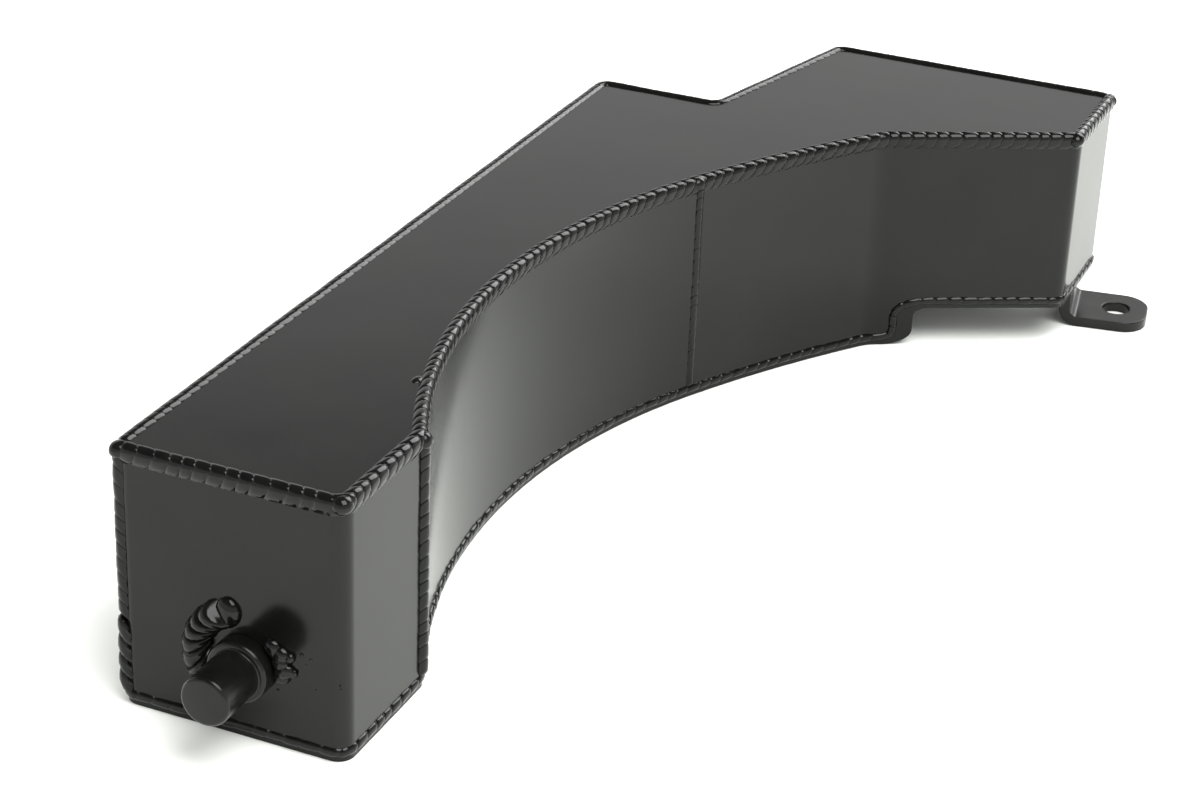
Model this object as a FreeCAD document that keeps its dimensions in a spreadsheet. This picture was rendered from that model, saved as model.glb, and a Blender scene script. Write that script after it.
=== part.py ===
import FreeCAD, Part
import math
import os
import re

import Sketcher

# Coolant expansion tank, welded from folded sheet, in millimetres.
# Plan directions: u runs along the straight back edge, w towards the concave side.
# In the part's frame +X is u, +Y is minus w and +Z is up, with the tank lying on its bottom plate.

SIZES = (
    ("sheet", 3.0, "thickness of every sheet"),
    ("shell_height", 83.8, "underside of the bottom plate to the upside of the top plate"),
    ("back_length", 336.3, "straight back edge, from the near end to the notch"),
    ("end_width", 73.8, "width of the near end"),
    ("waist_ratio", 0.4698186, "place of the narrowest width, as a ratio of the back edge"),
    ("waist_width", 46.8, "narrowest width"),
    ("arc_radius", 242.3, "radius of the rolled arc wall"),
    ("seam_ratio", 0.7811478, "place of the seam in the concave side, as a ratio of the back edge"),
    ("panel_radius", 480.0, "gentler radius of the far wall's rolled panel"),
    ("kink_radius", 15.0, "radius of the soft kink after the rolled panel"),
    ("flank_angle", 61.3, "direction of the flank after the kink, in degrees from the back edge"),
    ("far_flat", 48.7, "length of the flat at the widest place"),
    ("far_width", 176.9, "width at the far end"),
    ("ledge_run", 82.1, "length of the notch along the back edge's direction"),
    ("notch_depth", 46.6, "depth of the notch at its inner corner"),
    ("notch_angle", 13.0, "slant of the notch's long side, in degrees"),
    ("fold_radius", 5.0, "outside radius of the folds"),
    ("notch_fold_radius", 4.0, "outside radius of the notch's inner fold"),
    ("shelf_rise", 15.0, "step of the bottom plate at the far end"),
    ("joggle_radius", 3.0, "inside radius of the bends in the bottom plate and the tab"),
    ("riser_gap", 0.5, "distance from the notch to the first bend of the step"),
    ("plate_setback", 2.4, "setback of the top plate's edge, which the weld fills"),
    ("bead_radius", 2.4, "radius of the top weld"),
    ("bead_inset", 1.2, "depth of the top weld's centre below the two faces"),
    ("foot_bead_radius", 1.9, "radius of the bottom weld"),
    ("foot_bead_inset", 0.7, "depth of the bottom weld's centre below the wall's face"),
    ("corner_bead_radius", 2.4, "radius of the near back corner's weld"),
    ("corner_bead_inset", 0.4, "depth of the near back corner's weld below the corner"),
    ("front_bead_radius", 2.2, "radius of the weld at the arc's front corner"),
    ("front_bead_inset", 0.6, "depth of that weld's centre below the corner"),
    ("seam_bead_radius", 2.0, "radius of the butt welds between the walls"),
    ("seam_bead_inset", 0.9, "depth of the butt welds' centres below the wall's face"),
    ("far_seam_offset", 15.0, "distance of the hidden closing seam from the notch's outer corner"),
    ("peg_w", 41.7, "place of the peg across the near end"),
    ("peg_z", 24.2, "height of the peg's axis"),
    ("peg_radius", 7.75, "radius of the peg"),
    ("peg_length", 22.7, "reach of the peg from the near end"),
    ("peg_chamfer", 0.8, "chamfer of the peg's tip and of its collar"),
    ("collar_radius", 9.7, "radius of the peg's collar"),
    ("collar_length", 5.9, "length of the peg's collar"),
    ("peg_weld_leg", 9.6, "width of the peg's large weld on the wall"),
    ("peg_weld_rise", 5.3, "height of the peg's large weld on the collar"),
    ("peg_weld_start", 15.0, "start of the large weld round the peg, in degrees from the top"),
    ("peg_weld_sweep", 95.0, "length of the large weld round the peg, in degrees"),
    ("peg_tack_leg", 6.0, "width of the peg's small weld on the wall"),
    ("peg_tack_rise", 4.0, "height of the peg's small weld on the collar"),
    ("peg_tack_start", 265.0, "start of the small weld round the peg, in degrees from the top"),
    ("peg_tack_sweep", 47.0, "length of the small weld round the peg, in degrees"),
    ("tab_hole_u", 404.4, "place of the tab's hole along the back edge's direction"),
    ("tab_hole_w", 190.5, "place of the tab's hole across"),
    ("tab_hole_radius", 5.25, "radius of the tab's hole"),
    ("tab_turn", 10.0, "turn of the tab from square to the widest flat, in degrees"),
    ("tab_width", 27.0, "width of the tab"),
    ("tab_thickness", 4.0, "thickness of the tab's strip"),
    ("tab_tip", 12.0, "distance from the hole to the tab's tip"),
    ("tab_back", 17.0, "distance from the hole to the tab's upright leg"),
    ("tab_round", 10.0, "corner radius of the tab's tip"),
    ("tab_weld_leg", 3.5, "leg of the weld behind the tab's upright"),
    ("neck_w", 121.0, "place of the filler neck across the far end"),
    ("neck_z", 48.0, "height of the filler neck's axis"),
    ("neck_radius", 19.0, "outside radius of the filler neck"),
    ("neck_bore", 16.0, "bore radius of the filler neck"),
    ("neck_length", 30.0, "length of the filler neck"),
    ("neck_weld_leg", 4.0, "leg of the weld round the filler neck"),
    ("spill_radius", 4.0, "outside radius of the overflow nipple"),
    ("spill_bore", 2.5, "bore radius of the overflow nipple"),
    ("spill_reach", 16.0, "reach of the overflow nipple from the neck"),
    ("spill_along", 9.5, "distance of the overflow nipple from the far wall"),
    ("spill_lip", 0.6, "height of the lip that holds a hose on a nipple"),
    ("cap_radius", 22.0, "outside radius of the cap"),
    ("cap_skirt", 18.0, "length of the cap's side"),
    ("cap_end", 3.2, "thickness of the cap's end"),
    ("cap_chamfer", 1.5, "chamfer of the cap's outer edge"),
    ("cap_clearance", 0.3, "gap between the cap and what it turns on"),
    ("grip_radius", 3.5, "radius of the cap's finger grooves"),
    ("grip_depth", 0.9, "depth of the cap's finger grooves"),
    ("grip_count", 16, "number of finger grooves round the cap"),
    ("seal_thickness", 2.0, "thickness of the cap's seal"),
    ("seal_width", 3.4, "width of the seal's ring"),
    ("valve_flange", 1.5, "thickness of the valve's flange"),
    ("valve_radius", 14.0, "radius of the valve's barrel"),
    ("valve_depth", 15.0, "depth of the valve's barrel in the neck"),
    ("valve_port", 5.0, "radius of the valve's port"),
    ("outlet_u", 75.0, "place of the hose outlet along the back edge"),
    ("outlet_z", 30.0, "height of the hose outlet's axis"),
    ("outlet_radius", 9.0, "outside radius of the hose outlet"),
    ("outlet_bore", 6.5, "bore radius of the hose outlet"),
    ("outlet_reach", 34.0, "reach of the hose outlet from the back wall"),
    ("outlet_lip", 1.0, "height of the lip that holds the hose"),
    ("vent_w", 22.0, "place of the vent nipple across the notch"),
    ("vent_z", 48.0, "height of the vent nipple's axis"),
    ("vent_radius", 4.0, "outside radius of the vent nipple"),
    ("vent_bore", 2.5, "bore radius of the vent nipple"),
    ("vent_reach", 24.0, "reach of the vent nipple from the notch"),
    ("lip_length", 3.0, "length of the lips on the hose ends"),
    ("fitting_weld_leg", 2.5, "leg of the welds round the outlet and the vent nipple"),
    ("trim_margin", 20.0, "reach of the trimming blocks past the tank"),
)
NAMES = {name for name, _, _ in SIZES}

# Lengths that follow from the sheet, as text that other sizes are bound to.
FAR_U = "(back_length + ledge_run)"
CAP_FRONT = "(neck_length + seal_thickness + valve_flange + cap_clearance + cap_end)"
TAB_REACH = ("(tab_hole_w + (tab_tip - tab_round) * cos(tab_turn)"
             " + (tab_width / 2 - tab_round) * sin(tab_turn) + tab_round)")
SHIFT_X = f"(peg_length - {FAR_U} - {CAP_FRONT}) / 2"
SHIFT_Y = f"({TAB_REACH} - outlet_reach) / 2"
RISER_U = "(back_length + riser_gap + joggle_radius)"
WAIST_U = "(back_length * waist_ratio)"
SEAM_U = "(back_length * seam_ratio)"
ARC_CENTRE_W = "(waist_width + arc_radius)"
FRONT_U = f"({WAIST_U} - sqrt(arc_radius ^ 2 - ({ARC_CENTRE_W} - end_width) ^ 2))"
FAR_SEAM_W = "(notch_depth + ledge_run * tan(notch_angle) + far_seam_offset)"

# Points on the face of a convex weld, as shares of its leg on the wall and of its rise.
WELD_FACE = ((0.8, 0.5), (0.42, 0.85))
TAB_WELD_RATIO = 0.65
# Largest angle in degrees between two parallel directions, and largest distance of two equal places.
PARALLEL_ANGLE = 2.0
SAME_PLACE = 0.01


def cells(text):
    """Turn the size names in a formula into references to the sheet's cells."""
    return re.sub(r"[a-z_]+", lambda word: "Dims." + word[0] if word[0] in NAMES else word[0], text)


def bind(thing, **formulas):
    """Bind properties of an object to formulas of sizes; two underscores stand for a dot."""
    for name, formula in formulas.items():
        thing.setExpression(name.replace("__", "."), cells(formula))


def place(thing, u="0", w="0", z="0"):
    """Bind an object's place to formulas in plan coordinates."""
    bind(thing, Placement__Base__x=f"{SHIFT_X} + {u}", Placement__Base__y=f"{SHIFT_Y} - ({w})",
         Placement__Base__z=z)


def turn_axis(thing, axis, angle):
    """Turn an object about an axis through its own origin."""
    thing.Placement.Rotation = FreeCAD.Rotation(FreeCAD.Vector(*axis), angle)


def make_sheet(doc):
    """Write the driving sizes into a sheet, one named cell each."""
    sheet = doc.addObject("Spreadsheet::Sheet", "Dims")
    for row, (name, size, note) in enumerate(SIZES, start=1):
        sheet.set(f"A{row}", note)
        sheet.set(f"B{row}", str(size))
        sheet.setAlias(f"B{row}", name)
    doc.recompute()


def size_of(doc, name):
    """Read a size from the sheet."""
    return float(doc.getObject("Dims").get(name))


def draw_polygon(sketch, corners):
    """Draw a closed outline whose corners are bound to formulas."""
    count = len(corners)
    for index in range(count):
        ends = [FreeCAD.Vector(math.cos(step), math.sin(step), 0)
                for step in (math.tau * index / count, math.tau * (index + 1) / count)]
        sketch.addGeometry(Part.LineSegment(*ends))
    for index in range(count):
        sketch.addConstraint(Sketcher.Constraint("Coincident", index, 2, (index + 1) % count, 1))
    for index, corner in enumerate(corners):
        for kind, axis, formula in zip(("DistanceX", "DistanceY"), (-2, -1), corner):
            if formula == "0":
                sketch.addConstraint(Sketcher.Constraint("PointOnObject", index, 1, axis))
            else:
                number = sketch.addConstraint(Sketcher.Constraint(kind, -1, 1, index, 1, 1.0))
                sketch.setExpression(f"Constraints[{number}]", cells(formula))


def new_body(doc, label):
    """Start a piece that is made from sketches."""
    body = doc.addObject("PartDesign::Body", label)
    body.Label = label
    return body


def sketch_on(body, role):
    """Add a sketch to a body on one of its origin planes."""
    plane = next(feature for feature in body.Origin.OriginFeatures if feature.Role == role)
    sketch = body.newObject("Sketcher::SketchObject", body.Label + "_sketch")
    sketch.AttachmentSupport = [(plane, "")]
    sketch.MapMode = "FlatFace"
    return sketch


def turned(doc, label, corners, sweep="360"):
    """Turn a profile of radius and height about the body's Z axis."""
    body = new_body(doc, label)
    sketch = sketch_on(body, "XZ_Plane")
    draw_polygon(sketch, corners)
    spin = body.newObject("PartDesign::Revolution", label + "_spin")
    spin.Profile = sketch
    spin.ReferenceAxis = (sketch, ["V_Axis"])
    bind(spin, Angle=sweep)
    return body


def padded(doc, label, corners, length):
    """Pad a profile of the XZ plane evenly to both sides."""
    body = new_body(doc, label)
    sketch = sketch_on(body, "XZ_Plane")
    draw_polygon(sketch, corners)
    pad = body.newObject("PartDesign::Pad", label + "_pad")
    pad.Profile = sketch
    pad.SideType = "Symmetric"
    bind(pad, Length=length)
    return body


def edges_at(shape, direction, spots):
    """Name the straight edges along a direction that pass through given places."""
    names = []
    parallel = math.cos(math.radians(PARALLEL_ANGLE))
    for number, edge in enumerate(shape.Edges, start=1):
        ends = [vertex.Point for vertex in edge.Vertexes]
        if len(ends) != 2 or abs((ends[1] - ends[0]).normalize().dot(direction)) < parallel:
            continue
        flat = ends[0] - direction * ends[0].dot(direction)
        if any((flat - spot).Length < SAME_PLACE for spot in spots):
            names.append(f"Edge{number}")
    return names


def round_edges(body, direction, spots, radius):
    """Round the edges of a body that run through given places, by a bound radius."""
    body.Document.recompute()
    base = body.Tip
    names = edges_at(base.Shape, direction, spots)
    if len(names) != len(spots):
        raise RuntimeError(f"{body.Label}: {len(names)} edges found for {len(spots)} places")
    fillet = body.newObject("PartDesign::Fillet", body.Label + "_round")
    fillet.Base = (base, names)
    bind(fillet, Radius=radius)
    return fillet


def weld_ring(radius, leg, rise=None):
    """Give the profile of a convex fillet weld round a fitting."""
    rise = rise or leg
    face = [(f"{radius} + {out} * {leg}", f"{up} * {rise}") for out, up in WELD_FACE]
    return ((radius, "0"), (f"{radius} + {leg}", "0"), *face, (radius, rise))


def hose_end(radius, bore, reach, lip):
    """Give the profile of a hose end with a lip at its tip."""
    return ((bore, "0"), (radius, "0"), (radius, f"{reach} - lip_length"),
            (f"{radius} + {lip}", f"{reach} - lip_length"), (f"{radius} + {lip}", f"{reach} - {lip}"),
            (radius, reach), (bore, reach))


def extrude(doc, label, base, height, lift="0"):
    """Raise a flat outline to a solid."""
    solid = doc.addObject("Part::Extrusion", label)
    solid.Base = base
    solid.DirMode = "Custom"
    solid.Dir = FreeCAD.Vector(0, 0, 1)
    solid.Solid = True
    bind(solid, LengthFwd=height, Placement__Base__z=lift)
    return solid


def offset_line(doc, label, plan, distance):
    """Offset the plan outline, outwards where the distance is positive."""
    line = doc.addObject("Part::Offset2D", label)
    line.Source = plan
    line.Join = "Arc"
    bind(line, Value=distance)
    return line


def cut(doc, label, base, *tools):
    """Cut tools from a solid one after the other; the last result has the label."""
    for number, tool in enumerate(tools, start=1):
        result = doc.addObject("Part::Cut", label if number == len(tools) else f"{label}_{number}")
        result.Base = base
        result.Tool = tool
        base = result
    return base


def common(doc, label, base, tool):
    """Keep what two solids share."""
    result = doc.addObject("Part::Common", label)
    result.Base = base
    result.Tool = tool
    return result


def block(doc, label, u, w, z, length, width, height):
    """Make a trimming block from its lowest u, highest w and lowest z."""
    box = doc.addObject("Part::Box", label)
    place(box, u, w, z)
    bind(box, Length=length, Width=width, Height=height)
    return box


def post(doc, label, radius, u, w, z, height):
    """Make an upright round bar."""
    bar = doc.addObject("Part::Cylinder", label)
    place(bar, u, w, z)
    bind(bar, Radius=radius, Height=height)
    return bar


def drill(doc, label, radius, u, w, z, axis, angle):
    """Make a bar that drills through a wall, centred on the wall's outer face."""
    bar = post(doc, label, radius, u, w, z, "2 * trim_margin")
    turn_axis(bar, axis, angle)
    return bar


def plan_corners(size):
    """Work out the plan's curves in their first place from the sizes, in part coordinates.

    Args:
        size: function that reads a size by name.

    Returns:
        The centres of the folds and of the rolled walls by name, the seam and two sharp corners.
    """
    fold = size("fold_radius")
    far_u = size("back_length") + size("ledge_run")
    slant = math.radians(size("notch_angle"))
    steep = math.radians(size("flank_angle"))
    arc = (size("back_length") * size("waist_ratio"), size("waist_width") + size("arc_radius"))
    seam_u = size("back_length") * size("seam_ratio")
    seam = (seam_u, arc[1] - math.sqrt(size("arc_radius") ** 2 - (seam_u - arc[0]) ** 2))
    pull = size("panel_radius") / size("arc_radius")
    panel = (seam[0] + (arc[0] - seam[0]) * pull, seam[1] + (arc[1] - seam[1]) * pull)

    near_back = (fold, fold)
    near_front = (fold, size("end_width") - fold)
    drop = arc[1] - near_front[1]
    front = (arc[0] - math.sqrt((size("arc_radius") + fold) ** 2 - drop ** 2), near_front[1])
    notch_outer = (size("back_length") - fold, fold)
    far_front = (far_u - fold, size("far_width") - fold)

    along = (math.cos(steep), math.sin(steep))
    outward = (-along[1], along[0])
    foot = (far_u - size("far_flat"), size("far_width"))
    kink_r = size("kink_radius")
    start = (foot[0] + outward[0] * kink_r - panel[0], foot[1] + outward[1] * kink_r - panel[1])
    lean = start[0] * along[0] + start[1] * along[1]
    reach = (size("panel_radius") - kink_r) ** 2 - start[0] ** 2 - start[1] ** 2
    half_chord = math.sqrt(lean ** 2 + reach)
    step = max(value for value in (-lean - half_chord, -lean + half_chord) if value < 0)
    kink = (panel[0] + start[0] + along[0] * step, panel[1] + start[1] + along[1] * step)
    flank = (foot[0] + fold * math.tan(steep / 2), foot[1] - fold)

    notch = (size("back_length"), size("notch_depth"))
    hollow = size("notch_fold_radius")
    hollow_w = notch[1] - hollow * (1 / math.cos(slant) - math.tan(slant))
    notch_inner = (notch[0] + hollow, hollow_w)
    ledge_w = notch[1] + size("ledge_run") * math.tan(slant)
    far_back = (far_u - fold, ledge_w - fold * math.tan(slant) + fold / math.cos(slant))
    return {"near_back": near_back, "near_front": near_front, "front": front, "arc": arc, "seam": seam,
            "panel": panel, "kink": kink, "flank": flank, "far_front": far_front, "far_back": far_back,
            "notch_inner": notch_inner, "notch_outer": notch_outer, "foot": foot, "notch": notch}


def toward(start, end, distance):
    """Give the point at a distance from one point on the way to another."""
    share = distance / math.dist(start, end)
    return (start[0] + (end[0] - start[0]) * share, start[1] + (end[1] - start[1]) * share)


def draw_plan(doc):
    """Draw the tank's plan, lines and tangent arcs all round, bound to the sheet."""
    def size(name):
        return size_of(doc, name)

    spot = plan_corners(size)
    fold = size("fold_radius")
    slant = math.radians(size("notch_angle"))
    steep = math.radians(size("flank_angle"))
    up, left, down, right = (0, 1), (-1, 0), (0, -1), (1, 0)
    flank_out = (-math.sin(steep), math.cos(steep))
    ledge_out = (math.sin(slant), -math.cos(slant))

    def move(centre, way, radius):
        return (centre[0] + way[0] * radius, centre[1] + way[1] * radius)

    front_end = toward(spot["front"], spot["arc"], fold)
    kink_start = toward(spot["panel"], spot["kink"], size("panel_radius"))
    kink_end = move(spot["kink"], flank_out, -size("kink_radius"))
    notch_start = move(spot["notch_inner"], ledge_out, -size("notch_fold_radius"))
    notch_end = move(spot["notch_inner"], left, size("notch_fold_radius"))

    def fold_at(name, start, end):
        return name, move(spot[name], start, fold), move(spot[name], end, fold), "fold_radius"

    # Each arc: its centre, start and end in the order near end, concave side, far end, notch, back.
    arcs = (
        fold_at("near_back", down, left),
        fold_at("near_front", left, up),
        ("front", move(spot["front"], up, fold), front_end, "fold_radius"),
        ("arc", front_end, spot["seam"], "arc_radius"),
        ("panel", spot["seam"], kink_start, "panel_radius"),
        ("kink", kink_start, kink_end, "kink_radius"),
        fold_at("flank", flank_out, up),
        fold_at("far_front", up, right),
        fold_at("far_back", right, ledge_out),
        ("notch_inner", notch_start, notch_end, "notch_fold_radius"),
        fold_at("notch_outer", right, down),
    )
    hollows = ("arc", "panel", "kink", "notch_inner")
    plan = doc.addObject("Sketcher::SketchObject", "plan")
    place(plan)

    def point(pair):
        return FreeCAD.Vector(pair[0], -pair[1], 0)

    # In part coordinates the plan is walked anticlockwise, so a hollow arc runs backwards.
    path = []
    arc_number = {}
    line_number = {}
    for index, (name, start, end, radius) in enumerate(arcs):
        circle = Part.Circle(point(spot[name]), FreeCAD.Vector(0, 0, 1), size(radius))
        ends = (end, start) if name in hollows else (start, end)
        first, last = (circle.parameter(point(pair)) for pair in ends)
        arc_number[name] = plan.addGeometry(Part.ArcOfCircle(circle, first, last))
        path.append((arc_number[name], (2, 1) if name in hollows else (1, 2)))
        after = arcs[(index + 1) % len(arcs)][1]
        if math.dist(end, after) > 1e-6:
            line_number[name] = plan.addGeometry(Part.LineSegment(point(end), point(after)))
            path.append((line_number[name], (1, 2)))

    for (geo, ends), (next_geo, next_ends) in zip(path, path[1:] + path[:1]):
        plan.addConstraint(Sketcher.Constraint("Tangent", geo, ends[1], next_geo, next_ends[0]))

    def present(kind, where):
        if kind == "Radius":
            return plan.Geometry[where[0]].Radius
        if kind == "Angle":
            span = plan.getPoint(where[0], 2) - plan.getPoint(where[0], 1)
            return math.atan2(span.y, span.x)
        spot_now = plan.getPoint(*where[-2:])
        return spot_now.x if kind == "DistanceX" else spot_now.y

    def fix(formula, kind, *where):
        number = plan.addConstraint(Sketcher.Constraint(kind, *where, present(kind, where)))
        plan.setExpression(f"Constraints[{number}]", cells(formula))

    for name, _, _, radius in arcs:
        fix(radius, "Radius", arc_number[name])
    for name in ("near_back", "far_front", "notch_inner"):
        plan.addConstraint(Sketcher.Constraint("Vertical", line_number[name]))
    for name in ("near_front", "flank", "notch_outer"):
        plan.addConstraint(Sketcher.Constraint("Horizontal", line_number[name]))
    plan.addConstraint(Sketcher.Constraint("PointOnObject", line_number["near_back"], 1, -2))
    plan.addConstraint(Sketcher.Constraint("PointOnObject", line_number["notch_outer"], 1, -1))
    fix("back_length", "DistanceX", -1, 1, line_number["notch_inner"], 1)
    fix(FAR_U, "DistanceX", -1, 1, line_number["far_front"], 1)
    fix("-end_width", "DistanceY", -1, 1, line_number["near_front"], 1)
    fix("-far_width", "DistanceY", -1, 1, line_number["flank"], 1)
    fix(WAIST_U, "DistanceX", -1, 1, arc_number["arc"], 3)
    fix(f"-{ARC_CENTRE_W}", "DistanceY", -1, 1, arc_number["arc"], 3)
    fix(SEAM_U, "DistanceX", -1, 1, arc_number["panel"], 2)
    # Sharp corners that two slanted walls are set out from.
    for name, lines, axis, formula in (
            ("foot", ("kink", "flank"), "DistanceX", f"{FAR_U} - far_flat"),
            ("notch", ("notch_inner", "far_back"), "DistanceY", "-notch_depth")):
        mark = plan.addGeometry(Part.Point(point(spot[name])), True)
        for line in lines:
            plan.addConstraint(Sketcher.Constraint("PointOnObject", mark, 1, line_number[line]))
        fix(formula, axis, -1, 1, mark, 1)
    fix("-flank_angle", "Angle", line_number["kink"])
    fix("180 - notch_angle", "Angle", line_number["far_back"])
    return plan


def build_plates(doc, plan):
    """Make the two plates, the ring of walls between them and the wall's trimming solids."""
    edge = offset_line(doc, "plate_line", plan, "-plate_setback")
    inner = offset_line(doc, "inner_line", plan, "-sheet")
    top = extrude(doc, "top_plate", edge, "sheet", "shell_height - sheet")

    start, end, low = "-trim_margin", f"{FAR_U} + trim_margin", "-trim_margin"
    wide = "2 * (far_width + trim_margin)"
    upside = ((end, "shelf_rise + sheet"), (RISER_U, "shelf_rise + sheet"), (RISER_U, "sheet"),
              (start, "sheet"))
    underside = ((start, "0"), (f"{RISER_U} + sheet", "0"), (f"{RISER_U} + sheet", "shelf_rise"),
                 (end, "shelf_rise"))
    strip = padded(doc, "joggled_strip", underside + upside, wide)
    under = padded(doc, "under_strip", ((start, low), (end, low)) + upside, wide)
    for body in (strip, under):
        place(body)
    across = FreeCAD.Vector(0, 1, 0)
    riser = sum(size_of(doc, name) for name in ("back_length", "riser_gap", "joggle_radius"))
    rise, thick = size_of(doc, "shelf_rise"), size_of(doc, "sheet")
    inside_low, inside_high = FreeCAD.Vector(riser, 0, thick), FreeCAD.Vector(riser + thick, 0, rise)
    outside_low = FreeCAD.Vector(riser + thick, 0, 0)
    outside_high = FreeCAD.Vector(riser, 0, rise + thick)
    round_edges(strip, across, [inside_low, inside_high], "joggle_radius")
    round_edges(strip, across, [outside_low, outside_high], "joggle_radius + sheet")
    round_edges(under, across, [inside_low], "joggle_radius")
    round_edges(under, across, [outside_high], "joggle_radius + sheet")

    foot = extrude(doc, "plan_prism", plan, "shelf_rise + 2 * sheet")
    bottom = common(doc, "bottom_plate", strip, foot)
    outside = extrude(doc, "wall_outside", plan, "shell_height - 2 * sheet", "sheet")
    inside = extrude(doc, "wall_inside", inner, "shell_height - 2 * sheet", "sheet")
    ring = cut(doc, "wall_ring", outside, inside, under)
    return top, bottom, ring


def build_walls(doc, ring):
    """Part the ring of walls at its welded seams and drill it for the fittings."""
    tall = "shell_height"
    near_block = block(doc, "near_block", "-trim_margin", "end_width + trim_margin", "0",
                       f"{FRONT_U} + trim_margin", "end_width + trim_margin - sheet", tall)
    arc_block = block(doc, "arc_block", FRONT_U, "far_width", "0",
                      f"{SEAM_U} - {FRONT_U}", "far_width - sheet", tall)
    far_block = block(doc, "far_block", SEAM_U, "far_width + trim_margin", "0",
                      f"{FAR_U} + trim_margin - {SEAM_U}", "far_width + trim_margin - sheet", tall)
    back_plan = doc.addObject("Sketcher::SketchObject", "back_plan")
    place(back_plan)
    past, inside = f"{FAR_U} + trim_margin", "back_length - 3 * sheet"
    draw_polygon(back_plan, (
        ("-trim_margin", "trim_margin"), (past, "trim_margin"), (past, f"-{FAR_SEAM_W}"),
        (f"{FAR_U} - 3 * sheet", f"-{FAR_SEAM_W}"), (inside, "-notch_depth - 3 * sheet"),
        (inside, "-sheet"), ("-trim_margin", "-sheet")))
    back_block = extrude(doc, "back_block", back_plan, tall)
    outlet_drill = drill(doc, "outlet_drill", "outlet_bore",
                         "outlet_u", "trim_margin", "outlet_z", (1, 0, 0), -90)
    vent_drill = drill(doc, "vent_drill", "vent_bore",
                       "back_length - trim_margin", "vent_w", "vent_z", (0, 1, 0), 90)
    neck_drill = drill(doc, "neck_drill", "neck_bore",
                       f"{FAR_U} - trim_margin", "neck_w", "neck_z", (0, 1, 0), 90)
    return (common(doc, "near_end_wall", ring, near_block),
            common(doc, "arc_wall", ring, arc_block),
            cut(doc, "far_wall", common(doc, "far_part", ring, far_block), back_block, neck_drill),
            cut(doc, "back_wall", common(doc, "back_part", ring, back_block), outlet_drill, vent_drill))


def swept_rod(doc, label, plan, inset, radius, lift):
    """Sweep a round bar along the plan, set in from the wall's face."""
    path = offset_line(doc, label + "_path", plan, f"-{inset}")
    bind(path, Placement__Base__z=lift)
    ring = doc.addObject("Part::Circle", label + "_section")
    place(ring, "back_length / 2", inset, lift)
    turn_axis(ring, (0, 1, 0), 90)
    bind(ring, Radius=radius)
    doc.recompute()
    rod = doc.addObject("Part::Sweep", label)
    rod.Sections = [ring]
    rod.Spine = (path, [f"Edge{number}" for number in range(1, len(path.Shape.Edges) + 1)])
    rod.Solid = True
    rod.Frenet = False
    return rod


def build_seams(doc, plan, top, bottom, ring):
    """Make the welds that close the shell."""
    top_rod = swept_rod(doc, "top_rod", plan, "bead_inset", "bead_radius", "shell_height - bead_inset")
    top_bead = cut(doc, "top_seam_weld", top_rod, top, ring)

    low_rod = swept_rod(doc, "low_rod", plan, "foot_bead_inset", "foot_bead_radius", "sheet")
    high_rod = swept_rod(doc, "high_rod", plan, "foot_bead_inset", "foot_bead_radius", "sheet + shelf_rise")
    wide, tall = "far_width + 2 * trim_margin", "shell_height"
    low_block = block(doc, "low_block", "-trim_margin", "far_width + trim_margin", "-trim_margin",
                      f"{RISER_U} + trim_margin", wide, tall)
    high_block = block(doc, "high_block", RISER_U, "far_width + trim_margin", "0",
                       f"{FAR_U} + trim_margin - {RISER_U}", wide, tall)
    outer_line = offset_line(doc, "band_out_line", plan, "foot_bead_radius - foot_bead_inset")
    inner_line = offset_line(doc, "band_in_line", plan, "-foot_bead_radius - foot_bead_inset")
    band_out = extrude(doc, "band_out", outer_line, "shelf_rise", "sheet")
    band_in = extrude(doc, "band_in", inner_line, "shelf_rise", "sheet")
    riser_block = block(doc, "riser_block", f"{RISER_U} - foot_bead_radius", "far_width + trim_margin", "0",
                        "2 * foot_bead_radius", wide, tall)
    risers = common(doc, "riser_rods", cut(doc, "band", band_out, band_in), riser_block)
    runs = doc.addObject("Part::MultiFuse", "bottom_rods")
    runs.Shapes = [common(doc, "low_run", low_rod, low_block),
                   common(doc, "high_run", high_rod, high_block), risers]
    bottom_bead = cut(doc, "bottom_seam_weld", runs, bottom, ring)

    height = "shell_height - bead_inset - sheet"
    corner = "(fold_radius - (fold_radius - corner_bead_inset) * sqrt(0.5))"
    grow = "(arc_radius + seam_bead_inset) / arc_radius"
    drop = f"sqrt(arc_radius ^ 2 - ({SEAM_U} - {WAIST_U}) ^ 2)"
    bars = (
        ("near_corner_weld", "corner_bead_radius", corner, corner, "sheet", height),
        ("front_corner_weld", "front_bead_radius", FRONT_U, "end_width - front_bead_inset",
         "sheet", height),
        ("arc_seam_weld", "seam_bead_radius", f"{WAIST_U} + ({SEAM_U} - {WAIST_U}) * {grow}",
         f"{ARC_CENTRE_W} - {drop} * {grow}", "sheet", height),
        ("far_seam_weld", "seam_bead_radius", f"{FAR_U} - seam_bead_inset", FAR_SEAM_W,
         "sheet + shelf_rise", f"{height} - shelf_rise"),
    )
    uprights = [cut(doc, label, post(doc, label + "_bar", *sizes), ring, top, top_bead, bottom_bead)
                for label, *sizes in bars]
    return [top_bead, bottom_bead] + uprights


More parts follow.
